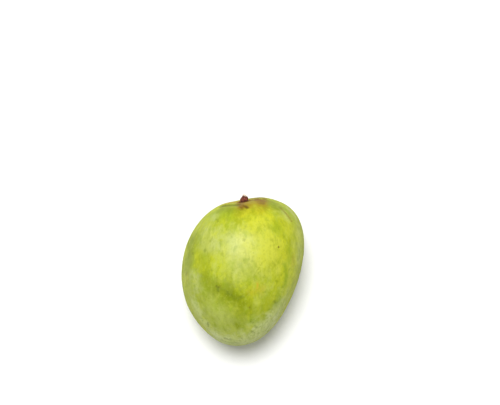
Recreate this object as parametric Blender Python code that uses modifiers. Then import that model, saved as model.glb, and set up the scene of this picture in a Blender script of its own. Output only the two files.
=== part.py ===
"""A whole green mango lying on its cheek, with the stub of its stem.

The fruit is one solid. It is a unit sphere stretched to the fruit's length, breadth and
thickness, filled out towards the stem end, bent like a kidney, and leaned in plan, because
a mango's long axis runs aslant from its stem. A shallow hollow round the stem and a small
flat spot underneath finish it. The woody stub stands in a socket in that hollow.

Metres, +Z up. +Y runs from the blossom end to the stem end, +X across the broad face.
"""

import math

import bmesh
import bpy
import numpy as np
from mathutils import Matrix, Vector

# The fruit's own sizes, before it is laid down
LENGTH = 0.1045
BREADTH = 0.080
THICKNESS = 0.068
SQUARENESS = 2.12  # 2 is a round section, more is squarer

# How much fuller than an ellipsoid the fruit is: towards the stem end, and at both ends
FACE_STEM_FULLNESS = 0.031
FACE_END_FULLNESS = 0.076
SIDE_STEM_FULLNESS = 0.11
SIDE_END_FULLNESS = 0.05

# The kidney bend moves the middle to the left, by these amounts: all along, more at the stem
# end, and more at both ends
BEND = -0.0078
BEND_AT_STEM = -0.0015
BEND_AT_ENDS = -0.0027

# How it lies: the long axis leans to the right in plan, and the heavy stem end is raised
LEAN_DEG = -21.4
PITCH_DEG = 5.9
ROLL_DEG = 0.1
FLAT_SPOT_DEPTH = 0.0004

# The stem: where it grows on the unit sphere, which way it points as the fruit lies, and
# the hollow round it
STEM_POLAR_DEG = 32.0
STEM_ROUND_DEG = 158.0
STEM_WAY = (-0.16, 0.90, 0.42)
HOLLOW_DEPTH = 0.0026
HOLLOW_SEAT_RADIUS = 0.0034
HOLLOW_RADIUS = 0.016

# The woody stub and its root
STUB_HEIGHT = 0.0046
STUB_FLARE_RADIUS = 0.0031
STUB_KNOB_RADIUS = 0.0026
STUB_WAIST_RADIUS = 0.0021
STUB_TIP_RADIUS = 0.0016
STUB_LEAN = 0.22  # to the right, as a share of the height
ROOT_RADIUS = 0.0014
ROOT_DEPTH = 0.0030
RIBS = 5
RIB_SHARE = 0.09  # how far the ribs stand out, as a share of the radius
CLEARANCE = 0.0003

# Facets
FRUIT_SEGMENTS = 60
FRUIT_RINGS = 48
RING_CROWDING = 1.3  # over 1, rings gather at the stem
STUB_STEPS = 20

SKIN_GREEN = (0.46, 0.52, 0.06, 1.0)
WOOD_BROWN = (0.13, 0.045, 0.035, 1.0)


def clear_scene():
    for old in list(bpy.data.objects):
        bpy.data.objects.remove(old, do_unlink=True)


def new_collection(name):
    made = bpy.data.collections.new(name)
    bpy.context.scene.collection.children.link(made)
    return made


def material(name, colour, roughness):
    made = bpy.data.materials.new(name)
    made.use_nodes = True
    shader = made.node_tree.nodes["Principled BSDF"]
    shader.inputs["Base Color"].default_value = colour
    shader.inputs["Roughness"].default_value = roughness
    shader.inputs["Metallic"].default_value = 0.0
    return made


def new_object(name, mesh, collection, parent=None):
    made = bpy.data.objects.new(name, mesh)
    collection.objects.link(made)
    made.parent = parent
    return made


def hide_as_cutter(cutter):
    cutter.hide_render = True
    cutter.display_type = "WIRE"


def stem_on_sphere():
    """The unit sphere's direction at which the stem grows."""
    polar, turn = math.radians(STEM_POLAR_DEG), math.radians(STEM_ROUND_DEG)
    ring = math.sin(polar)
    return Vector((ring * math.cos(turn), math.cos(polar), ring * math.sin(turn)))


def lie_matrix():
    """Turns the fruit from its own frame to how it lies, without the lean in plan."""
    return Matrix.Rotation(math.radians(PITCH_DEG), 3, "X") @ Matrix.Rotation(math.radians(ROLL_DEG), 3, "Y")


def plump(sphere):
    """Points of the fruit for points of the unit sphere, before the hollow.

    Each section is a superellipse. Its breadth, thickness and middle follow the place
    along the axis, and all of it is then leaned in plan.
    """
    across, along, up = sphere.T
    ring = 1 - along**2
    section = (np.abs(across) ** SQUARENESS + np.abs(up) ** SQUARENESS) ** (1 / SQUARENESS)
    rounding = np.sqrt(np.maximum(ring, 0)) / np.maximum(section, 1e-9)
    face = 1 + ring * (FACE_STEM_FULLNESS * along + FACE_END_FULLNESS * along**2)
    side = 1 + ring * (SIDE_STEM_FULLNESS * along + SIDE_END_FULLNESS * along**2)
    bend = ring * (BEND + BEND_AT_STEM * along + BEND_AT_ENDS * along**2)
    points = np.stack(
        [
            bend + BREADTH / 2 * across * rounding * face,
            LENGTH / 2 * along,
            THICKNESS / 2 * up * rounding * side,
        ],
        axis=1,
    )
    lean = np.array(Matrix.Rotation(math.radians(LEAN_DEG), 3, "Z"))
    return points @ lean.T


def stem_seat():
    """The point of the plump fruit where the stem grows, and the stem's way there."""
    point = Vector(plump(np.array([stem_on_sphere()]))[0])
    way = lie_matrix().transposed() @ Vector(STEM_WAY).normalized()
    return point, way


def hollowed(points):
    """Presses a shallow hollow with a flat seat round the stem.

    Near the stem's axis a point moves along it, to the seat's level; the move fades out at
    the hollow's edge.
    """
    seat, way = (np.array(v) for v in stem_seat())
    offset = points - seat
    height = offset @ way
    radius = np.linalg.norm(offset - height[:, None] * way, axis=1)
    fade = np.clip((HOLLOW_RADIUS - radius) / (HOLLOW_RADIUS - HOLLOW_SEAT_RADIUS), 0, 1)
    fade = fade**2 * (3 - 2 * fade) * (height > -HOLLOW_RADIUS)
    return points + ((-HOLLOW_DEPTH - height) * fade)[:, None] * way


def fruit_mesh():
    """A UV sphere with its pole at the stem, shaped into the fruit."""
    ball = bmesh.new()
    bmesh.ops.create_uvsphere(ball, u_segments=FRUIT_SEGMENTS, v_segments=FRUIT_RINGS, radius=1)
    mesh = bpy.data.meshes.new("mango_fruit")
    ball.to_mesh(mesh)
    ball.free()
    sphere = np.empty(len(mesh.vertices) * 3)
    mesh.vertices.foreach_get("co", sphere)
    sphere = sphere.reshape(-1, 3)
    polar = np.arccos(np.clip(sphere[:, 2], -1, 1))
    crowded = math.pi * (polar / math.pi) ** RING_CROWDING
    turn = np.arctan2(sphere[:, 1], sphere[:, 0])
    sphere = np.stack(
        [np.sin(crowded) * np.cos(turn), np.sin(crowded) * np.sin(turn), np.cos(crowded)], axis=1
    )
    to_stem = np.array(stem_on_sphere().to_track_quat("Z", "X").to_matrix())
    points = hollowed(plump(sphere @ to_stem.T))
    mesh.vertices.foreach_set("co", points.ravel())
    mesh.update()
    mesh.shade_smooth()
    return mesh


def turned(name, profile, steps):
    """A mesh turned from (radius, height) points, listed from the top down the outer side."""
    line = bpy.data.meshes.new(name + "_line")
    line.from_pydata([(r, 0, h) for r, h in profile], [(i, i + 1) for i in range(len(profile) - 1)], [])
    lathe = bpy.data.objects.new(name + "_lathe", line)
    bpy.context.scene.collection.objects.link(lathe)
    screw = lathe.modifiers.new("turn", "SCREW")
    screw.steps = screw.render_steps = steps
    screw.use_merge_vertices = True
    screw.merge_threshold = 0.00001
    bpy.context.view_layer.update()
    evaluated = lathe.evaluated_get(bpy.context.evaluated_depsgraph_get())
    mesh = bpy.data.meshes.new_from_object(evaluated)
    mesh.name = name
    bpy.data.objects.remove(lathe)
    return mesh


def stub_mesh():
    """The stub: a flared foot on the hollow's seat, a knob, a waist and a snapped tip, all ribbed.

    Heights are counted from the seat, and its own X points to the left. The root below it
    is plain and round.
    """
    broken_tip = [(0, 0.94 * STUB_HEIGHT), (0.7 * STUB_TIP_RADIUS, STUB_HEIGHT)]
    side = [
        (STUB_TIP_RADIUS, 0.90 * STUB_HEIGHT),
        (STUB_WAIST_RADIUS, 0.68 * STUB_HEIGHT),
        (STUB_KNOB_RADIUS, 0.46 * STUB_HEIGHT),
        (STUB_KNOB_RADIUS, 0.30 * STUB_HEIGHT),
        (STUB_FLARE_RADIUS, 0.14 * STUB_HEIGHT),
        (STUB_FLARE_RADIUS, CLEARANCE),
    ]
    root = [(ROOT_RADIUS, CLEARANCE), (ROOT_RADIUS, -ROOT_DEPTH), (0, -ROOT_DEPTH)]
    profile = broken_tip + side + root
    mesh = turned("stem_stub", profile, STUB_STEPS)
    for vertex in mesh.vertices:
        if vertex.co.z < 1.5 * CLEARANCE:
            continue
        turn = math.atan2(vertex.co.y, vertex.co.x)
        rib = 1 + RIB_SHARE * math.cos(RIBS * turn)
        vertex.co.x = vertex.co.x * rib - STUB_LEAN * vertex.co.z
        vertex.co.y *= rib
    mesh.shade_smooth()
    mesh.set_sharp_from_angle(angle=math.radians(40))
    return mesh


def socket_mesh():
    """The cutter for the stub's root: a plain pin, wider and deeper by the clearance."""
    pin = bmesh.new()
    depth = ROOT_DEPTH + CLEARANCE
    bmesh.ops.create_cone(
        pin,
        cap_ends=True,
        segments=STUB_STEPS,
        radius1=ROOT_RADIUS + CLEARANCE,
        radius2=ROOT_RADIUS + CLEARANCE,
        depth=2 * depth,
    )
    mesh = bpy.data.meshes.new("socket_cutter")
    pin.to_mesh(mesh)
    pin.free()
    return mesh


def floor_mesh():
    """The cutter for the flat spot: a block whose top is the surface the fruit lies on."""
    block = bmesh.new()
    bmesh.ops.create_cube(block, size=2 * LENGTH)
    bmesh.ops.translate(block, verts=block.verts, vec=(0, 0, -LENGTH))
    mesh = bpy.data.meshes.new("floor_cutter")
    block.to_mesh(mesh)
    block.free()
    return mesh


def cut(target, cutter):
    boolean = target.modifiers.new(cutter.name, "BOOLEAN")
    boolean.operation = "DIFFERENCE"
    boolean.solver = "EXACT"
    boolean.object = cutter


def world_points(obj):
    evaluated = obj.evaluated_get(bpy.context.evaluated_depsgraph_get())
    return np.array([evaluated.matrix_world @ v.co for v in evaluated.data.vertices])


def centre_over_origin(holder, pieces):
    """Moves the fruit in plan so that the middle of its box stands over the origin."""
    bpy.context.view_layer.update()
    points = np.concatenate([world_points(piece) for piece in pieces])
    middle = (points.min(axis=0) + points.max(axis=0)) / 2
    holder.location.x -= middle[0]
    holder.location.y -= middle[1]


def main():
    clear_scene()
    parts = new_collection("mango")
    cutters = new_collection("cutters")

    lying = new_object("lying", None, parts)
    lying.rotation_mode = "QUATERNION"
    lying.rotation_quaternion = lie_matrix().to_quaternion()

    fruit = new_object("mango_fruit", fruit_mesh(), parts, lying)
    fruit.data.materials.append(material("mango_skin", SKIN_GREEN, 0.42))
    bpy.context.view_layer.update()
    lying.location.z = -world_points(fruit)[:, 2].min() - FLAT_SPOT_DEPTH

    seat, way = stem_seat()
    growth = new_object("growth", None, parts, lying)
    growth.location = seat - HOLLOW_DEPTH * way
    growth.rotation_mode = "QUATERNION"
    growth.rotation_quaternion = way.to_track_quat("Z", "Y")

    stub = new_object("stem_stub", stub_mesh(), parts, growth)
    stub.data.materials.append(material("stem_wood", WOOD_BROWN, 0.8))

    socket = new_object("socket_cutter", socket_mesh(), cutters, growth)
    floor = new_object("floor_cutter", floor_mesh(), cutters)
    for cutter in (socket, floor):
        hide_as_cutter(cutter)
        cut(fruit, cutter)

    centre_over_origin(lying, [fruit, stub])


main()
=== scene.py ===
"""A whole green mango with the stub of its stem, lying on a pale floor under soft light.

The sections follow the work: the camera that the marks are placed by, the fruit, the stub of
its stem, the floor, and the light. Lengths are in metres, and colours are linear.
"""

import math

import bpy
import numpy as np
from mathutils import Matrix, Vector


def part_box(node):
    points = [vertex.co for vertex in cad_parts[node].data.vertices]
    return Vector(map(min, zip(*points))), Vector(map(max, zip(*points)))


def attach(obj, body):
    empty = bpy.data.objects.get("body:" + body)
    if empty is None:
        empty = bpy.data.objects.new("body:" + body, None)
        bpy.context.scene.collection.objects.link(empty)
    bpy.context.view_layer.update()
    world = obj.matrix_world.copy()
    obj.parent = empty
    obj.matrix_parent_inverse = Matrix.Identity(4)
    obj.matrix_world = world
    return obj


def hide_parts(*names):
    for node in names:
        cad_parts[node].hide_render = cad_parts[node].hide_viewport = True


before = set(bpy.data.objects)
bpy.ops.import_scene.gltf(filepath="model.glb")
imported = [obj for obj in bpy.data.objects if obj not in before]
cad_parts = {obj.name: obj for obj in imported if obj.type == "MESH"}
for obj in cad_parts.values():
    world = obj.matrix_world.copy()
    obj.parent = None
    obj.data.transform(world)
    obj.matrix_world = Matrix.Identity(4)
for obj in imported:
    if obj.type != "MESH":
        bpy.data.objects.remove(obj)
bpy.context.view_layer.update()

# The camera.
# A long lens that looks steeply down, as in the photograph. The fruit shows below the middle
# of the frame, because the lens is aimed at a point just behind the stem.
PHOTO_WIDE, PHOTO_HIGH = 500, 405
LENS_MM, SENSOR_MM = 60.0, 36.0
LOOKS_DOWN_DEG = 75.0
CAMERA_AWAY = 0.5706
AIM = np.array([0.0048, 0.0451, 0.0449])

looks_down = math.radians(LOOKS_DOWN_DEG)
right = np.array([1.0, 0.0, 0.0])
back = np.array([0.0, -math.cos(looks_down), math.sin(looks_down)])
up = np.cross(back, right)
eye = AIM + CAMERA_AWAY * back

camera = bpy.data.objects.new("camera", bpy.data.cameras.new("camera"))
camera.data.lens = LENS_MM
camera.data.sensor_width = SENSOR_MM
camera.location = eye
camera.rotation_euler = (math.pi / 2 - looks_down, 0, 0)
bpy.context.scene.collection.objects.link(camera)
bpy.context.scene.camera = camera


def pixel_of(points):
    """The photograph's pixel of each point: its offset from the lens's axis over its depth, times
    the lens's length in pixels."""
    offset = points - eye
    lens_px = PHOTO_WIDE * LENS_MM / SENSOR_MM
    spread = lens_px / -(offset @ back)
    return np.stack(
        [
            PHOTO_WIDE / 2 + spread * (offset @ right),
            PHOTO_HIGH / 2 - spread * (offset @ up),
        ],
        axis=-1,
    )


# The fruit.
# Skin and flesh grew as one, so it is one closed surface: a plump kidney form that lies on its
# cheek, with a shallow hollow where the stem grew. The skin is waxy and goes from green to
# yellow, with olive blotches and faint streaks, pale pores, corky scars and stains of sap.
LENGTH, BREADTH, THICKNESS = 0.1045, 0.080, 0.068
SQUARENESS = 2.12
FACE_STEM_FULLNESS, FACE_END_FULLNESS = 0.031, 0.076
SIDE_STEM_FULLNESS, SIDE_END_FULLNESS = 0.11, 0.05
BEND, BEND_AT_STEM, BEND_AT_ENDS = -0.0078, -0.0015, -0.0027
LEAN_DEG, PITCH_DEG, ROLL_DEG = -21.4, 5.9, 0.1
FLAT_SPOT_DEPTH = 0.0004
STEM_POLAR_DEG, STEM_ROUND_DEG = 32.0, 158.0
STEM_WAY = (-0.16, 0.90, 0.42)
HOLLOW_DEPTH, HOLLOW_SEAT_RADIUS, HOLLOW_RADIUS = 0.0026, 0.0034, 0.016
SKIN_RINGS, SKIN_SEGMENTS = 301, 320
RING_CROWDING = 1.45  # over 1, rings gather at the stem
TINY = 1e-9


def rotation(degrees, axis):
    return np.array(Matrix.Rotation(math.radians(degrees), 3, axis))


def unit(vectors):
    return vectors / np.maximum(np.linalg.norm(vectors, axis=-1, keepdims=True), TINY)


def smooth_step(x):
    """0 below 0, 1 above 1, and 3x^2 - 2x^3 between."""
    x = np.clip(x, 0, 1)
    return x * x * (3 - 2 * x)


def round_about(pole, polar, turn):
    """Unit sphere: cos(polar) along the pole, and sin(polar) round it by turn."""
    side = unit(np.cross(pole, [0.0, 0.0, 1.0]))
    over = np.cross(pole, side)
    return (
        np.cos(polar)[..., None] * pole
        + (np.sin(polar) * np.cos(turn))[..., None] * side
        + (np.sin(polar) * np.sin(turn))[..., None] * over
    )


def plump(ways):
    """The fruit before its hollow: superellipse sections, whose breadth, thickness and middle
    follow the place along the axis."""
    across, along, over = np.moveaxis(ways, -1, 0)
    ring = 1 - along**2
    section = (np.abs(across) ** SQUARENESS + np.abs(over) ** SQUARENESS) ** (1 / SQUARENESS)
    rounding = np.sqrt(np.maximum(ring, 0)) / np.maximum(section, TINY)
    face = 1 + ring * (FACE_STEM_FULLNESS * along + FACE_END_FULLNESS * along**2)
    side = 1 + ring * (SIDE_STEM_FULLNESS * along + SIDE_END_FULLNESS * along**2)
    bend = ring * (BEND + BEND_AT_STEM * along + BEND_AT_ENDS * along**2)
    points = np.stack(
        [
            bend + BREADTH / 2 * across * rounding * face,
            LENGTH / 2 * along,
            THICKNESS / 2 * over * rounding * side,
        ],
        axis=-1,
    )
    return points @ (lying @ rotation(LEAN_DEG, "Z")).T


def hollowed(points):
    """Near the stem's axis a point moves along it to the seat's level, and the move fades out."""
    offset = points - stem_root
    height = offset @ stem_way
    radius = np.linalg.norm(offset - height[..., None] * stem_way, axis=-1)
    fade = smooth_step((HOLLOW_RADIUS - radius) / (HOLLOW_RADIUS - HOLLOW_SEAT_RADIUS))
    fade = fade * (height > -HOLLOW_RADIUS)
    return points + ((-HOLLOW_DEPTH - height) * fade)[..., None] * stem_way


def normals_of(grid):
    """Cross product of the steps along and round the grid; a pole takes the mean of its ring."""
    down = np.gradient(grid, axis=0)
    round_it = np.roll(grid, -1, axis=1) - np.roll(grid, 1, axis=1)
    normals = unit(np.cross(down, round_it))
    normals[0] = unit(normals[1].mean(axis=0))
    normals[-1] = unit(normals[-2].mean(axis=0))
    return normals


WAVE_COUNT = 40
LEAST_WAVE, MOST_WAVE = 0.7, 1.4  # the waves to a length


def waves(points, length, seed):
    """An even random field, about -1 to 1: a sum of plane waves of about this length."""
    draw = np.random.default_rng(seed)
    ways = unit(draw.normal(size=(WAVE_COUNT, 3))) * 2 * np.pi / length
    ways = ways * draw.uniform(LEAST_WAVE, MOST_WAVE, (WAVE_COUNT, 1))
    phases = draw.uniform(0, 2 * np.pi, WAVE_COUNT)
    return np.cos(points @ ways.T + phases).sum(axis=-1) / math.sqrt(WAVE_COUNT)


def in_order(grid):
    """A grid's values in the order of its mesh's points: one for each pole, all of each ring."""
    return np.concatenate([grid[0, :1], grid[1:-1].reshape(-1, 3), grid[-1, :1]])


def closed_mesh(name, grid):
    """A mesh of a grid whose first and last rows are poles: a fan at each, and quads between."""
    rings, segments = grid.shape[:2]
    points = in_order(grid)
    first = 1 + np.arange(segments)
    after = np.roll(first, -1)
    last = first + (rings - 3) * segments
    rows = segments * np.arange(rings - 3)[:, None]
    quads = np.stack(
        [first + rows, first + rows + segments, after + rows + segments, after + rows], axis=-1
    )
    top = np.stack([np.zeros_like(first), first, after], axis=-1)
    foot = np.stack([last, np.full_like(last, len(points) - 1), np.roll(last, -1)], axis=-1)
    faces = top.tolist() + quads.reshape(-1, 4).tolist() + foot.tolist()
    mesh = bpy.data.meshes.new(name)
    mesh.from_pydata(points.tolist(), [], faces)
    mesh.shade_smooth()
    mesh.update()
    return mesh


lying = rotation(PITCH_DEG, "X") @ rotation(ROLL_DEG, "Y")
stem_polar, stem_turn = math.radians(STEM_POLAR_DEG), math.radians(STEM_ROUND_DEG)
stem_pole = np.array(
    [
        math.sin(stem_polar) * math.cos(stem_turn),
        math.cos(stem_polar),
        math.sin(stem_polar) * math.sin(stem_turn),
    ]
)
stem_way = unit(np.array(STEM_WAY))
stem_root = plump(stem_pole)

polar = math.pi * np.linspace(0, 1, SKIN_RINGS)[:, None] ** RING_CROWDING
turn = np.linspace(0, 2 * math.pi, SKIN_SEGMENTS, endpoint=False)[None, :]
skin_form = hollowed(plump(round_about(stem_pole, *np.broadcast_arrays(polar, turn))))

# The form is set where the solid fruit lies
solid_low, solid_high = (np.array(corner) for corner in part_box("mango_fruit"))
form_low, form_high = skin_form.min(axis=(0, 1)), skin_form.max(axis=(0, 1))
shift = (solid_low + solid_high - form_low - form_high) / 2
shift[2] = -form_low[2] - FLAT_SPOT_DEPTH
skin_form = skin_form + shift
stem_seat = stem_root - HOLLOW_DEPTH * stem_way + shift
skin_normals = normals_of(skin_form)

facing = (skin_normals * (eye - skin_form)).sum(axis=-1) > 0
seen_points = skin_form[facing]
seen_pixels = pixel_of(seen_points)

NEAREST_POINTS = 4
LEAST_AWAY_PX = 0.05


def skin_at(pixel):
    """The skin's point at a pixel: the nearest grid points, weighted by nearness."""
    away = np.linalg.norm(seen_pixels - pixel, axis=-1)
    nearest = np.argsort(away)[:NEAREST_POINTS]
    weight = 1 / (away[nearest] + LEAST_AWAY_PX)
    return (seen_points[nearest] * weight[:, None]).sum(axis=0) / weight.sum()


def skin_line(pixels):
    return np.array([skin_at(pixel) for pixel in pixels])


def to_line(points, line):
    """Each point's distance to a broken line: the least of its distances to the line's pieces."""
    nearest = np.full(points.shape[:-1], np.inf)
    for start, end in zip(line[:-1], line[1:]):
        run = end - start
        share = np.clip((points - start) @ run / (run @ run), 0, 1)
        away = np.linalg.norm(points - start - share[..., None] * run, axis=-1)
        nearest = np.minimum(nearest, away)
    return nearest


# The marks on it, each by its pixels in the photograph, as it was found there: a fold and two
# corky scars by the stem, a rub on the shoulder, and the ring where the flower's style fell off
FOLD_PIXELS = [(221, 206.3), (226, 205.1), (232, 204.5), (239, 204.3)]
SCAR_PIXELS = [[(243.6, 204.8), (245.2, 206.0), (247.0, 207.5)], [(241.8, 206.9), (241.2, 209.2)]]
SCAR_COVERS = (0.90, 0.60)
RUB_PIXELS = [(281, 208), (286, 213.2), (289.5, 217.6), (291.6, 220.6)]
STYLE_RING_PIXEL = (253.4, 329.2)

fold = skin_line(FOLD_PIXELS)
fold_middle = fold.mean(axis=0)
scars = [skin_line(pixels) for pixels in SCAR_PIXELS]
rub = skin_line(RUB_PIXELS)
style_ring = skin_at(STYLE_RING_PIXEL)

SKIN_INSET = 0.00016  # keeps the uneven skin inside the solid's box
UNEVEN_LENGTH, UNEVEN, UNEVEN_SEED = 0.034, 0.00016, 11
RIPPLE_LENGTH, RIPPLE, RIPPLE_SEED = 0.011, 0.00004, 12
FOLD_WIDTH, FOLD_HALF, FOLD_DEPTH = 0.0016, 0.010, 0.00065
SCAR_WIDTH, SCAR_HEIGHT = 0.0005, 0.00015
RUB_WIDTH, RUB_DEPTH = 0.0004, 0.00007
STYLE_RING_RADIUS, STYLE_RING_WIDTH, STYLE_RING_HEIGHT = 0.0011, 0.0004, 0.00010


def bell(distance, width):
    return np.exp(-((distance / width) ** 2))


def relief(points):
    """How far the skin stands out: wide unevenness and ripples, the sunk fold and rub, and the
    raised scars and ring."""
    height = UNEVEN * waves(points, UNEVEN_LENGTH, UNEVEN_SEED)
    height += RIPPLE * waves(points, RIPPLE_LENGTH, RIPPLE_SEED)
    height -= SKIN_INSET
    along_fold = bell(np.linalg.norm(points - fold_middle, axis=-1), FOLD_HALF)
    height -= FOLD_DEPTH * bell(to_line(points, fold), FOLD_WIDTH) * along_fold
    height -= RUB_DEPTH * bell(to_line(points, rub), RUB_WIDTH)
    for scar in scars:
        height += SCAR_HEIGHT * bell(to_line(points, scar), SCAR_WIDTH)
    from_style = np.linalg.norm(points - style_ring, axis=-1)
    height += STYLE_RING_HEIGHT * bell(from_style - STYLE_RING_RADIUS, STYLE_RING_WIDTH)
    return height


skin_grid = skin_form + relief(skin_form)[..., None] * skin_normals
skin_grid[..., 2] = np.maximum(skin_grid[..., 2], 0)
fruit = bpy.data.objects.new("fruit_skin", closed_mesh("fruit_skin", skin_grid))
bpy.context.scene.collection.objects.link(fruit)

# The skin's streaks follow the way from the stem to the blossom end: each point keeps its
# place round that way, and how far along it is
STREAK_RADIUS = 0.036
LONGWISE, STREAKWISE = (1, 1, 0.75), (1, 1, 0.35)
end_to_end = STREAK_RADIUS * np.stack(
    np.broadcast_arrays(np.cos(turn), np.sin(turn), polar), axis=-1
)
streak_places = fruit.data.attributes.new("end_to_end", "FLOAT_VECTOR", "POINT")
streak_places.data.foreach_set("vector", in_order(end_to_end).ravel())

# The skin's colours
GREEN = (0.38, 0.44, 0.016, 1)
LEAF_GREEN = (0.29, 0.40, 0.012, 1)
YELLOW_GREEN = (0.50, 0.56, 0.024, 1)
YELLOW = (0.64, 0.66, 0.028, 1)
AMBER = (0.38, 0.29, 0.000, 1)
ORANGE = (0.60, 0.44, 0.030, 1)
OLIVE = (0.23, 0.29, 0.001, 1)
DEEP_OLIVE = (0.22, 0.25, 0.000, 1)
# Painted shade for the fold's crease
PAINTED_CREASE_SHADE = (0.11, 0.12, 0.000, 1)
SAGE = (0.34, 0.40, 0.060, 1)
DARK_GREEN = (0.11, 0.16, 0.006, 1)
PALE_GREEN = (0.52, 0.60, 0.090, 1)
# Pale waxy bloom, also laid as painted sheen and painted reflection of the floor
BLOOM_AND_SHEEN = (0.64, 0.70, 0.300, 1)
PORE = (0.54, 0.60, 0.090, 1)
SAP = (0.26, 0.13, 0.000, 1)
STAIN = (0.23, 0.090, 0.000, 1)
# Corky russet, also laid as a painted shadow at the left rim
RUSSET_AND_SHADOW = (0.12, 0.075, 0.003, 1)
CORK = (0.17, 0.10, 0.002, 1)
RUB_BROWN = (0.26, 0.165, 0.008, 1)

# Wide soft patches, some of them painted shade, sheen and reflection as noted: pixels that each
# lies along, radius and soft edge in metres, colour, cover
PATCHES = [
    ([(262, 238)], 0.011, 0.012, YELLOW, 0.75),
    ([(274, 256)], 0.008, 0.011, YELLOW, 0.70),
    ([(288, 262)], 0.005, 0.009, YELLOW, 0.50),
    ([(250, 212), (264, 216)], 0.005, 0.008, YELLOW, 0.75),
    ([(214, 215), (226, 213)], 0.004, 0.007, LEAF_GREEN, 0.60),
    ([(226, 209), (238, 209)], 0.0020, 0.004, OLIVE, 0.45),
    ([(240, 211), (262, 209)], 0.0015, 0.006, AMBER, 0.30),
    ([(268, 203), (276, 206)], 0.003, 0.006, OLIVE, 0.80),
    ([(278, 229)], 0.002, 0.006, LEAF_GREEN, 0.30),
    # Darker olive along the left rim: the skin's own olive, deepened with painted shade
    ([(191, 243), (188, 262)], 0.002, 0.009, OLIVE, 0.85),
    ([(203, 255), (203, 276)], 0.003, 0.008, GREEN, 0.80),
    ([(198, 300), (216, 316), (228, 327)], 0.006, 0.009, GREEN, 0.80),
    ([(202, 290), (212, 308), (230, 316)], 0.006, 0.010, SAGE, 0.85),
    # Grey-green along the left rim, deepened with painted shade
    ([(189, 262), (190, 288)], 0.0015, 0.007, SAGE, 0.60),
    ([(209, 303), (218, 312)], 0.002, 0.006, PALE_GREEN, 0.30),
    ([(270, 308), (258, 322), (247, 331)], 0.004, 0.009, GREEN, 0.70),
    ([(206, 279), (219, 287), (236, 296)], 0.0030, 0.007, OLIVE, 0.54),
    ([(230, 296), (240, 303), (245, 310)], 0.0035, 0.007, OLIVE, 0.70),
    ([(229, 295), (236, 298.5), (242, 297)], 0.0004, 0.004, DARK_GREEN, 0.26),
    ([(250, 285), (256, 292)], 0.0030, 0.009, GREEN, 0.34),
    ([(212, 221), (220, 227)], 0.0030, 0.008, GREEN, 0.32),
    ([(239, 318), (237, 326)], 0.002, 0.006, OLIVE, 0.50),
    ([(285.5, 267), (286.5, 275), (284.5, 285)], 0.0004, 0.0035, LEAF_GREEN, 0.75),
    ([(278, 302)], 0.0010, 0.005, LEAF_GREEN, 0.65),
    ([(252, 320), (258, 323)], 0.0010, 0.005, LEAF_GREEN, 0.55),
    ([(293, 257), (293, 266)], 0.0003, 0.003, SAP, 0.28),
    # A faint brown line at the left rim: painted shadow, in the russet colour
    ([(186.5, 274), (187, 284)], 0.0003, 0.0025, RUSSET_AND_SHADOW, 0.30),
    ([(211, 232), (208, 243)], 0.004, 0.008, BLOOM_AND_SHEEN, 0.28),
    # Pale beneath the lamp's highlight: bloom, brightened with painted sheen
    ([(234, 247), (240, 268)], 0.007, 0.010, BLOOM_AND_SHEEN, 0.19),
    ([(287, 222), (292, 240)], 0.002, 0.008, YELLOW, 0.32),
    ([(195, 276), (198, 290)], 0.0015, 0.006, BLOOM_AND_SHEEN, 0.34),
    # A faint pale veil above the lower rim: painted reflection of the floor
    ([(206, 312), (226, 326), (252, 328)], 0.005, 0.009, BLOOM_AND_SHEEN, 0.14),
    # The pale lower rim: painted reflection of the white floor
    ([(222, 341), (250, 341), (268, 327)], 0.006, 0.009, BLOOM_AND_SHEEN, 0.70),
    # The pale lower right rim: painted reflection of the white floor
    ([(280, 308), (271, 322)], 0.003, 0.007, BLOOM_AND_SHEEN, 0.46),
    # The pale lower left rim: painted reflection of the white floor
    ([(194, 302), (205, 324), (218, 337)], 0.001, 0.005, BLOOM_AND_SHEEN, 0.50),
    # Painted highlight, spreading the lamp's highlight up and to the left
    ([(226, 236)], 0.005, 0.009, BLOOM_AND_SHEEN, 0.16),
    ([(252, 292), (260, 290)], 0.001, 0.005, ORANGE, 0.28),
    # The pale right rim: painted reflection of the white floor
    ([(298, 232), (299, 262)], 0.001, 0.006, BLOOM_AND_SHEEN, 0.18),
    # A pale line beside the rub: painted highlight
    ([(284, 212), (288, 219)], 0.0006, 0.0035, BLOOM_AND_SHEEN, 0.26),
    ([(213, 217)], 0.0010, 0.005, BLOOM_AND_SHEEN, 0.30),
    # Pale right of the lamp's highlight: bloom, brightened with painted sheen
    ([(261, 237), (268, 248), (270, 262)], 0.0050, 0.011, BLOOM_AND_SHEEN, 0.11),
]

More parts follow.
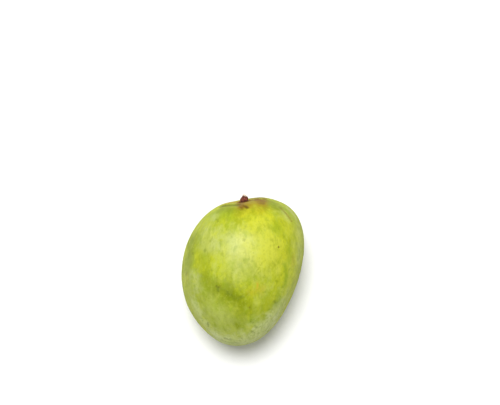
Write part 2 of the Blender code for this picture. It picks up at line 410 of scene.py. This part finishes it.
# Stains, deeper greens and a pale rim of painted highlight that lie over the skin's finer pattern,
# told in the same way
STAINS = [
    ([(216, 285), (232, 297), (241, 305)], 0.0020, 0.006, DEEP_OLIVE, 0.12),
    ([(222, 208.5), (242, 208.0)], 0.0012, 0.0050, DEEP_OLIVE, 0.36),
    ([(228, 202.8), (238, 202.6)], 0.0036, 0.0050, ORANGE, 0.85),
    ([(236, 207), (239, 207.6)], 0.0004, 0.0022, ORANGE, 0.30),
    ([(284, 208), (293.5, 218)], 0.0008, 0.0026, LEAF_GREEN, 0.50),
    # A pale line along the right shoulder's rim: painted highlight
    ([(288, 208), (296.5, 218)], 0.0005, 0.0022, BLOOM_AND_SHEEN, 0.30),
    ([(276, 226), (277, 230)], 0.0010, 0.0045, LEAF_GREEN, 0.35),
    ([(289, 250), (289, 260)], 0.0010, 0.0045, LEAF_GREEN, 0.28),
    ([(285, 268), (286, 276)], 0.0006, 0.0030, LEAF_GREEN, 0.45),
    ([(249, 202), (261, 202.4)], 0.0030, 0.0070, AMBER, 0.92),
    ([(250, 200.8), (256, 199.4), (262, 200.4)], 0.0016, 0.0040, STAIN, 0.85),
    ([(253, 198.2), (264, 198.0)], 0.0010, 0.0035, STAIN, 0.55),
    ([(262, 201.0), (263, 203.4)], 0.0003, 0.0020, RUSSET_AND_SHADOW, 0.22),
    ([(241.8, 202.9), (242.2, 205.6)], 0.0022, 0.0034, SAP, 0.95),
    ([(248, 203), (247, 205.4)], 0.0010, 0.0034, AMBER, 0.70),
    ([(246.0, 206.6), (247, 207.6)], 0.0006, 0.0014, RUSSET_AND_SHADOW, 0.75),
]

# Small marks, told in the same way, with the radius alone
SPECKS = [
    ([(278.7, 247.0)], 0.00066, RUSSET_AND_SHADOW, 0.85),
    ([(243.9, 239.7)], 0.00095, DARK_GREEN, 0.42),
    ([(217.4, 286.2), (218.1, 290.0)], 0.00100, DARK_GREEN, 0.60),
    ([(216.0, 286.8), (219.4, 286.4)], 0.00060, RUSSET_AND_SHADOW, 0.35),
    ([(257.5, 282.5), (257.8, 286), (257.2, 289)], 0.00065, ORANGE, 0.78),
    ([(233, 297), (236, 299.5)], 0.00130, DARK_GREEN, 0.30),
    ([(226.5, 292.5), (230, 294.5)], 0.00120, DARK_GREEN, 0.35),
    ([(241, 297.5), (243, 296.5)], 0.00100, DARK_GREEN, 0.40),
    ([(274.5, 301.5), (276, 303)], 0.00110, DARK_GREEN, 0.45),
    ([(251, 321), (253, 322.5)], 0.00100, DARK_GREEN, 0.40),
    ([(249.8, 307.8)], 0.00090, RUSSET_AND_SHADOW, 0.48),
    ([(207.6, 323.6), (208.2, 326)], 0.00090, DARK_GREEN, 0.62),
    ([(237, 324), (238, 327)], 0.00150, OLIVE, 0.76),
    ([(225.5, 338.8), (230, 339.6)], 0.00090, DARK_GREEN, 0.54),
    ([(192.5, 253.5)], 0.00105, DARK_GREEN, 0.58),
    ([(205, 250.5)], 0.00100, DARK_GREEN, 0.35),
    ([(216, 219), (218, 221)], 0.00070, DARK_GREEN, 0.40),
    ([(251.8, 331.6), (253.6, 332.6)], 0.00070, DARK_GREEN, 0.48),
    ([(254.6, 325.8), (256.6, 327.5)], 0.00070, DARK_GREEN, 0.48),
    ([(262.5, 262), (257.5, 270), (253.5, 277)], 0.00035, OLIVE, 0.38),
    ([(262, 314), (271, 316)], 0.00060, DARK_GREEN, 0.25),
]

# The Mix node's sockets when it mixes colours
FACTOR, UNDER, OVER, MIXED = 0, 6, 7, 2


class Wire:
    """An output of a material's node. Arithmetic on it adds Math nodes."""

    def __init__(self, tree, socket=None):
        self.tree = tree
        self.socket = socket

    def node(self, kind, settings, values, output=0):
        """Adds any other node: its type, its settings, and its sockets' values or wires."""
        made = self.tree.nodes.new("ShaderNode" + kind)
        for name, value in settings.items():
            setattr(made, name, value)
        for name, value in values.items():
            if isinstance(value, Wire):
                self.tree.links.new(value.socket, made.inputs[name])
            else:
                made.inputs[name].default_value = value
        return Wire(self.tree, made.outputs[output])

    def maths(self, operation, first, second):
        return self.node("Math", {"operation": operation}, {0: first, 1: second})

    def place_maths(self, operation, other, output="Vector"):
        """Adds a Vector Math node on a place wire and another place or way."""
        second = other if isinstance(other, Wire) else tuple(other)
        return self.node("VectorMath", {"operation": operation}, {0: self, 1: second}, output)

    def __add__(self, other):
        return self.maths("ADD", self, other)

    def __sub__(self, other):
        return self.maths("SUBTRACT", self, other)

    def __mul__(self, other):
        return self.maths("MULTIPLY", self, other)

    __radd__ = __add__
    __rmul__ = __mul__

    def rise(self, low, high):
        """0 at low and 1 at high, with a smooth rise between; high may be the lower one."""
        values = {"Value": self, "From Min": low, "From Max": high}
        return self.node("MapRange", {"interpolation_type": "SMOOTHSTEP"}, values)

    def swing(self, spread):
        """Noise set about 0, and spread this far from its lowest to its highest."""
        return (self - 0.5) * spread

    def over(self, under, colour):
        """colour laid over under, where this wire is its cover."""
        settings = {"data_type": "RGBA", "clamp_factor": True}
        return self.node("Mix", settings, {FACTOR: self, UNDER: under, OVER: colour}, MIXED)

    def noise(self, size, seed, detail=3, roughness=0.55, stretch=(1, 1, 1)):
        """Clouds of about this size on a place wire, 0 to 1."""
        values = {
            "Vector": self.place_maths("MULTIPLY", stretch),
            "W": seed,
            "Scale": 1 / size,
            "Detail": detail,
            "Roughness": roughness,
        }
        return self.node("TexNoise", {"noise_dimensions": "4D"}, values)

    def from_line(self, line):
        """A place wire's distance to a broken line, or to a lone point."""
        nearest = self.place_maths("DISTANCE", line[0], "Value")
        for start, end in zip(line[:-1], line[1:]):
            run = end - start
            offset = self.place_maths("SUBTRACT", start)
            ahead = offset.place_maths("DOT_PRODUCT", run / (run @ run), "Value")
            share = self.node("Clamp", {}, {"Value": ahead})
            foot = self.node("VectorMath", {"operation": "SCALE"}, {0: tuple(run), "Scale": share})
            away = offset.place_maths("DISTANCE", foot, "Value")
            nearest = self.maths("MINIMUM", nearest, away)
        return nearest


def new_material(name):
    """A material, its Principled shader, and a wire to start its nodes from."""
    material = bpy.data.materials.new(name)
    material.use_nodes = True
    shader = material.node_tree.nodes["Principled BSDF"]
    return material, shader, Wire(material.node_tree)


def plug(wire, shader, name):
    wire.tree.links.new(wire.socket, shader.inputs[name])


def layered(colour, layers):
    """The colour with each layer laid on it: none where its field starts, all where it is full."""
    for field, start, full, cover, paint in layers:
        colour = (field.rise(start, full) * cover).over(colour, paint)
    return colour


skin, skin_shader, wire = new_material("mango_skin")
place = wire.node("TexCoord", {}, {}, "Object")
along = wire.node("Attribute", {"attribute_name": "end_to_end"}, {}, "Vector")

# Noise by place
clouds = place.noise(size=0.020, seed=1)
mottle = place.noise(size=0.0045, seed=2, detail=4, roughness=0.6)
grain = place.noise(size=0.0010, seed=3)
freckles = place.noise(size=0.0024, seed=16, roughness=0.6)
side_greens = place.noise(size=0.015, seed=14, detail=2)
side_pales = place.noise(size=0.012, seed=15, detail=2)
pits = place.noise(size=0.0022, seed=12, detail=2)
PORE_CELL = 0.0030
cells = place.node("TexVoronoi", {}, {"Vector": place, "Scale": 1 / PORE_CELL}, "Distance")

# Noise drawn out from end to end
pale = along.noise(size=0.0075, seed=6, detail=5, roughness=0.68, stretch=LONGWISE)
deep = along.noise(size=0.0060, seed=7, detail=5, roughness=0.68, stretch=LONGWISE)
leafy = along.noise(size=0.0050, seed=8, detail=4, roughness=0.62, stretch=LONGWISE)
warm = along.noise(size=0.0055, seed=9, detail=4, roughness=0.62, stretch=LONGWISE)
fine = along.noise(size=0.0021, seed=10, roughness=0.6, stretch=LONGWISE)
streaks = along.noise(size=0.0016, seed=11, roughness=0.6, stretch=STREAKWISE)

# The bloom thins out towards the stem, the blossom end is freckled, and the side that lay in
# shade is blotchier
STEM_STRAY = 0.004
BLOOM_STARTS, BLOOM_FULL = 0.014, 0.032
FRECKLES_START_Y, FRECKLES_FULL_Y = 0.006, -0.016
SHADE_STARTS_Z, SHADE_FULL_Z = 0.036, 0.018
stem_away = place.from_line([stem_seat]) + mottle.swing(STEM_STRAY)
bloomed = stem_away.rise(BLOOM_STARTS, BLOOM_FULL)
lengthwise = place.node("SeparateXYZ", {}, {"Vector": place}, "Y")
towards_end = lengthwise.rise(FRECKLES_START_Y, FRECKLES_FULL_Y)
upward = place.node("SeparateXYZ", {}, {"Vector": place}, "Z")
shaded = upward.rise(SHADE_STARTS_Z, SHADE_FULL_Z)

# The ground, laid on in this order: a noise field, its value where the layer starts and where it
# is full, the layer's cover, and its colour
ground = [
    (clouds, 0.30, 0.60, 1, YELLOW_GREEN),
    (warm, 0.44, 0.70, 0.45, YELLOW),
    (pale, 0.42, 0.70, bloomed * 0.26, BLOOM_AND_SHEEN),
    (side_greens, 0.53, 0.66, shaded * 0.50, LEAF_GREEN),
    (side_pales, 0.55, 0.68, shaded * 0.45, BLOOM_AND_SHEEN),
]
colour = layered(GREEN, ground)

# The rim of a patch strays by these shares of its soft edge, and the patch is full from this
# share of it within its radius
CLOUD_STRAY, MOTTLE_STRAY = 1.2, 2.2
FULL_WITHIN = 0.3
wobble = clouds.swing(CLOUD_STRAY) + mottle.swing(MOTTLE_STRAY)


def patched(colour, patches):
    """The colour with each patch laid on it: full within its radius, gone beyond its soft edge."""
    for pixels, radius, edge, paint, cover in patches:
        away = place.from_line(skin_line(pixels)) + wobble * edge
        colour = (away.rise(radius + edge, radius - FULL_WITHIN * edge) * cover).over(colour, paint)
    return colour


colour = patched(colour, PATCHES)

# The finer pattern and the pores, told as the ground is
PORE_EDGE, PORE_MIDDLE = 0.17, 0.10
pattern = [
    (deep, 0.46, 0.72, 0.46, OLIVE),
    (leafy, 0.47, 0.72, 0.48, LEAF_GREEN),
    (streaks, 0.52, 0.74, 0.20, OLIVE),
    (streaks, 0.46, 0.26, bloomed * 0.24, PALE_GREEN),
    (fine, 0.50, 0.74, 0.24, DARK_GREEN),
    (fine, 0.47, 0.25, bloomed * 0.36, PALE_GREEN),
    (grain, 0.55, 0.80, 0.20, OLIVE),
    (freckles, 0.52, 0.66, towards_end * 0.34, LEAF_GREEN),
    (freckles, 0.60, 0.72, towards_end * 0.26, DARK_GREEN),
    (freckles, 0.46, 0.32, towards_end * 0.24, PALE_GREEN),
    (cells, 0.36, PORE_EDGE, 0.14, OLIVE),
    (cells, PORE_EDGE, PORE_MIDDLE, bloomed * 0.30, PORE),
]
colour = layered(colour, pattern)
colour = patched(colour, STAINS)

# The stain round the stem, by the distance from it
STAIN_EDGE, STAIN_MIDDLE = 0.0058, 0.0036
STAIN_ROUGHNESS = 0.4
stem_stains = [
    (stem_away, 0.0090, 0.0045, 0.50, AMBER),
    (stem_away, STAIN_EDGE, STAIN_MIDDLE, 0.80, STAIN),
]
colour = layered(colour, stem_stains)
rough_marks = stem_away.rise(STAIN_EDGE, STAIN_MIDDLE) * STAIN_ROUGHNESS

# The marks have ragged edges and gaps. Each has the distance at which it starts and the one
# within which it is full, which for a speck are shares of its radius.
RAGGED = 0.0026
GAP_AT, WHOLE_AT = 0.30, 0.58
WORN_LEAST = 0.4  # the cover left in a worn mark's gaps
SPECK_EDGE, SPECK_MIDDLE = 1.9, 0.2
FOLD_EDGE, FOLD_MIDDLE, FOLD_LEAST, CREASE_SHADE_COVER = 0.0034, 0.0002, 0.40, 0.80
FOLD_END_EDGE, FOLD_END_MIDDLE = FOLD_HALF * 1.25, FOLD_HALF * 0.45
SCAR_EDGE, SCAR_MIDDLE = 0.0017, 0.0001
RUB_EDGE, RUB_MIDDLE, RUB_COVER, RUB_RAGGED = 0.0016, 0.0002, 0.62, 0.7
RING_EDGE, RING_MIDDLE, RING_COVER, RING_RAGGED = 0.0016, 0.0006, 0.6, 0.5
ragged = place.noise(size=0.0014, seed=4).swing(RAGGED)
broken = place.noise(size=0.0012, seed=13).rise(GAP_AT, WHOLE_AT)
worn = WORN_LEAST + broken * (1 - WORN_LEAST)

for pixels, radius, paint, cover in SPECKS:
    speck_away = place.from_line(skin_line(pixels)) + ragged
    speck = speck_away.rise(radius * SPECK_EDGE, radius * SPECK_MIDDLE) * broken * cover
    colour = speck.over(colour, paint)
    rough_marks = rough_marks + speck
# Painted shade darkens the fold's crease, fading towards its ends
crease_shade_mask = (place.from_line(fold) + ragged).rise(FOLD_EDGE, FOLD_MIDDLE) * (FOLD_LEAST + mottle)
crease_shade_mask = crease_shade_mask * place.from_line([fold_middle]).rise(FOLD_END_EDGE, FOLD_END_MIDDLE)
colour = (crease_shade_mask * CREASE_SHADE_COVER).over(colour, PAINTED_CREASE_SHADE)
for scar, cover in zip(scars, SCAR_COVERS):
    scar_cover = (place.from_line(scar) + ragged).rise(SCAR_EDGE, SCAR_MIDDLE) * worn * cover
    colour = scar_cover.over(colour, CORK)
    rough_marks = rough_marks + scar_cover
rub_away = place.from_line(rub) + ragged * RUB_RAGGED
colour = (rub_away.rise(RUB_EDGE, RUB_MIDDLE) * worn * RUB_COVER).over(colour, RUB_BROWN)
ring_away = place.from_line([style_ring]) + ragged * RING_RAGGED
colour = (ring_away.rise(RING_EDGE, RING_MIDDLE) * RING_COVER).over(colour, BLOOM_AND_SHEEN)
plug(colour, skin_shader, "Base Color")

# The wax is rougher on marks and towards the rims, and dented by pits, pores and marks
SKIN_ROUGHNESS = 0.37
MOTTLE_ROUGHNESS, GRAIN_ROUGHNESS, PALE_ROUGHNESS = 0.10, 0.12, 0.20
MARKS_ROUGHNESS, RIM_ROUGHNESS = 0.25, 0.32
RIM_BLEND, RIM_STARTS, RIM_FULL = 0.5, 0.45, 0.95
GRAIN_DENT, PORE_DENT, MARKS_DENT = 0.5, 0.25, 0.2
SKIN_BUMP, SKIN_BUMP_DEPTH = 0.22, 0.0004
SKIN_IOR = 1.28
gloss = SKIN_ROUGHNESS + mottle.swing(MOTTLE_ROUGHNESS) + grain.swing(GRAIN_ROUGHNESS)
gloss = gloss + pale.swing(PALE_ROUGHNESS) + rough_marks * MARKS_ROUGHNESS
edge_on = wire.node("LayerWeight", {}, {"Blend": RIM_BLEND}, "Facing")
plug(gloss + edge_on.rise(RIM_STARTS, RIM_FULL) * RIM_ROUGHNESS, skin_shader, "Roughness")
pores = cells.rise(PORE_EDGE, PORE_MIDDLE)
dents = grain * GRAIN_DENT + pits - pores * PORE_DENT + rough_marks * MARKS_DENT
bump_values = {"Strength": SKIN_BUMP, "Distance": SKIN_BUMP_DEPTH, "Height": dents}
plug(wire.node("Bump", {}, bump_values), skin_shader, "Normal")
skin_shader.inputs["IOR"].default_value = SKIN_IOR

fruit.data.materials.append(skin)
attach(fruit, "root")
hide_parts("mango_fruit")

# The stem stub.
# The last bit of the woody stem, snapped off above its joint: a thin skirt of dry scales on the
# skin, a round ribbed knob, and a pale slanting break. It grew out of the hollow.
STUB_HEIGHT = 0.0044
STUB_SINK = 0.0006
STUB_LEAN = 0.32  # to the right, as a share of the height
STUB_RINGS, STUB_SEGMENTS, TIP_RINGS, FOOT_RINGS = 90, 96, 14, 5
STUB_HEIGHTS = np.array([0, 0.04, 0.10, 0.24, 0.40, 0.58, 0.74, 0.87, 0.96, 1.0]) * STUB_HEIGHT
STUB_RADII = np.array([3.20, 3.00, 2.62, 2.66, 2.60, 2.34, 1.86, 1.36, 1.04, 0.86]) / 1000
SKIRT_SCALES, SKIRT_SHARE, SKIRT_TURN = 7, 0.10, 0.6
RIBS, RIB_SHARE, RIB_TWIST = 9, 0.05, 3
SKIRT_TOP, RIBS_FULL, TIP_FOOT = 0.12, 0.3, 0.6  # as shares of the height
TIP_DIP, TIP_JAGS, TIP_SLANT = 0.0004, 0.00020, 0.40
BARK_LUMP_LENGTH, BARK_LUMP = 0.0028, 0.00016
BARK_FLAKE_LENGTH, BARK_FLAKE = 0.0011, 0.00010
FLAKE_SEED, LUMP_SEED, JAG_SEED = 21, 22, 23

BARK = (0.19, 0.044, 0.018, 1)
BARK_RED = (0.30, 0.058, 0.050, 1)
BARK_DARK = (0.060, 0.020, 0.006, 1)
BARK_LIGHT = (0.40, 0.16, 0.10, 1)
TIP_WOOD = (0.74, 0.62, 0.48, 1)

stub_right = unit(np.array([1.0, 0, 0]) - stem_way[0] * stem_way)
stub_over = np.cross(stem_way, stub_right)


def stub_grid():
    """A profile turned about the stem's way: its radius swells in scales at the skirt and in ribs
    above. The last rings close over the tip, which is dipped, jagged and slanted to the right."""
    round_it = np.linspace(0, 2 * np.pi, STUB_SEGMENTS, endpoint=False)[None, :]
    height = np.linspace(-STUB_SINK, STUB_HEIGHT, STUB_RINGS)[:, None] + 0 * round_it
    share = np.clip(height / STUB_HEIGHT, 0, 1)
    scales = SKIRT_SHARE * np.cos(SKIRT_SCALES * round_it + SKIRT_TURN)
    ribs = RIB_SHARE * np.cos(RIBS * round_it + RIB_TWIST * share)
    swell = scales * (1 - smooth_step(share / SKIRT_TOP)) + ribs * smooth_step(share / RIBS_FULL)
    radius = np.interp(height, STUB_HEIGHTS, STUB_RADII) * (1 + swell)
    tip_share = np.linspace(1, 0, TIP_RINGS + 1)[1:, None]
    foot_share = np.linspace(0, 1, FOOT_RINGS + 1)[:-1, None]
    foot_height = np.full((FOOT_RINGS, STUB_SEGMENTS), -STUB_SINK)
    tip_height = STUB_HEIGHT - TIP_DIP * (1 - tip_share**2) + 0 * round_it
    radius = np.concatenate([radius[:1] * foot_share, radius, radius[-1:] * tip_share])
    height = np.concatenate([foot_height, height, tip_height])
    outward = np.cos(round_it)[..., None] * stub_right + np.sin(round_it)[..., None] * stub_over
    points = radius[..., None] * outward + height[..., None] * stem_way
    lumps = BARK_LUMP * waves(points, BARK_LUMP_LENGTH, LUMP_SEED)
    flakes = BARK_FLAKE * waves(points, BARK_FLAKE_LENGTH, FLAKE_SEED)
    jags = TIP_JAGS * waves(points, BARK_FLAKE_LENGTH, JAG_SEED)
    near_tip = smooth_step((height / STUB_HEIGHT - TIP_FOOT) / (1 - TIP_FOOT))
    slant = TIP_SLANT * radius * np.cos(round_it)
    points = points + np.where(radius > 0, lumps + flakes, 0)[..., None] * outward
    points = points + (near_tip * (jags - slant))[..., None] * stem_way
    return points + np.maximum(height, 0)[..., None] * STUB_LEAN * stub_right + stem_seat


stub_points = stub_grid()
stub = bpy.data.objects.new("stem_wood", closed_mesh("stem_wood", stub_points[::-1]))
bpy.context.scene.collection.objects.link(stub)

FIBREWISE = (1.6, 0.4, 1.6)
FLAKE_STRAY = 0.0008
WOOD_ROUGHNESS, FLAKE_ROUGHNESS = 0.66, 0.25
FIBRE_DENT = 0.5
WOOD_BUMP, WOOD_BUMP_DEPTH = 0.6, 0.0003
WOOD_IOR = 1.35

wood, wood_shader, wire = new_material("stem_wood")
place = wire.node("TexCoord", {}, {}, "Object")
flakes = place.noise(size=0.0009, seed=1, detail=4, roughness=0.6)
lumps = place.noise(size=0.0022, seed=3, detail=2)
fibres = place.noise(size=0.0005, seed=2, roughness=0.6, stretch=FIBREWISE)

# Heights above the seat, along the stem and square to its slanting tip
from_seat = place.place_maths("SUBTRACT", stem_seat)
foot_up = from_seat.place_maths("DOT_PRODUCT", stem_way, "Value") + flakes.swing(FLAKE_STRAY)
tilted_way = stem_way + TIP_SLANT * stub_right
tip_up = from_seat.place_maths("DOT_PRODUCT", tilted_way, "Value") + flakes.swing(FLAKE_STRAY)

# The bark over its ground, and then the dark foot and the pale break, told as the skin's are
bark_layers = [
    (lumps, 0.42, 0.60, 1, BARK_RED),
    (flakes, 0.60, 0.38, 1, BARK_DARK),
    (fibres, 0.52, 0.72, 0.45, BARK_LIGHT),
    (foot_up, 0.0009, 0.0002, 0.80, BARK_DARK),
    (tip_up, 0.0040, 0.0045, 0.85, TIP_WOOD),
]
plug(layered(BARK, bark_layers), wood_shader, "Base Color")
plug(WOOD_ROUGHNESS + flakes.swing(FLAKE_ROUGHNESS), wood_shader, "Roughness")
dents = flakes + fibres * FIBRE_DENT
bump_values = {"Strength": WOOD_BUMP, "Distance": WOOD_BUMP_DEPTH, "Height": dents}
plug(wire.node("Bump", {}, bump_values), wood_shader, "Normal")
wood_shader.inputs["IOR"].default_value = WOOD_IOR

stub.data.materials.append(wood)
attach(stub, "root")
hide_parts("stem_stub")

# The floor.
# A wide sheet of plain white paper with a faint tooth, which glows a little by itself: painted
# light, like a light table's, which keeps the shadow soft. It isn't part of the fruit.
FLOOR_SIZE = 20.0
FLOOR_WHITE = (0.78, 0.78, 0.78, 1)
FLOOR_TOOTH, TOOTH_SIZE = (0.76, 0.76, 0.76, 1), 0.004
FLOOR_ROUGHNESS = 0.8
FLOOR_GLOW, GLOW_WHITE = 0.18, (1, 1, 1, 1)

half = FLOOR_SIZE / 2
floor_corners = [(-half, -half, 0), (half, -half, 0), (half, half, 0), (-half, half, 0)]
floor_mesh = bpy.data.meshes.new("floor")
floor_mesh.from_pydata(floor_corners, [], [(0, 1, 2, 3)])
floor = bpy.data.objects.new("floor", floor_mesh)
bpy.context.scene.collection.objects.link(floor)
paper, paper_shader, wire = new_material("floor")
place = wire.node("TexCoord", {}, {}, "Object")
tooth = place.noise(size=TOOTH_SIZE, seed=1)
plug(tooth.over(FLOOR_WHITE, FLOOR_TOOTH), paper_shader, "Base Color")
paper_shader.inputs["Roughness"].default_value = FLOOR_ROUGHNESS
paper_shader.inputs["Emission Color"].default_value = GLOW_WHITE
paper_shader.inputs["Emission Strength"].default_value = FLOOR_GLOW
floor.data.materials.append(paper)

# The light.
# One broad soft lamp nearly overhead, which gives the sheen on the upper cheek, and an even
# pale surround.
LAMP_SIZE, LAMP_AWAY, LAMP_WATTS = 4.2, 8.0, 780.0
LAMP_WAY = (-0.09, 0.18, 0.98)
SURROUND_WHITE, SURROUND_STRENGTH = (1, 1, 1, 1), 0.09

lamp_way = unit(np.array(LAMP_WAY))
lamp_right = unit(np.cross(up, lamp_way))
lamp_axes = np.stack([lamp_right, np.cross(lamp_way, lamp_right), lamp_way]).T
lamp = bpy.data.objects.new("lamp", bpy.data.lights.new("lamp", "AREA"))
lamp.data.shape = "DISK"
lamp.data.size = LAMP_SIZE
lamp.data.energy = LAMP_WATTS
lamp.location = (solid_low + solid_high) / 2 + LAMP_AWAY * lamp_way
lamp.rotation_euler = Matrix(lamp_axes.tolist()).to_euler()
bpy.context.scene.collection.objects.link(lamp)

surround = bpy.data.worlds.new("surround")
surround.use_nodes = True
sky = surround.node_tree.nodes["Background"]
sky.inputs["Color"].default_value = SURROUND_WHITE
sky.inputs["Strength"].default_value = SURROUND_STRENGTH
bpy.context.scene.world = surround
bpy.context.scene.view_settings.view_transform = "Standard"
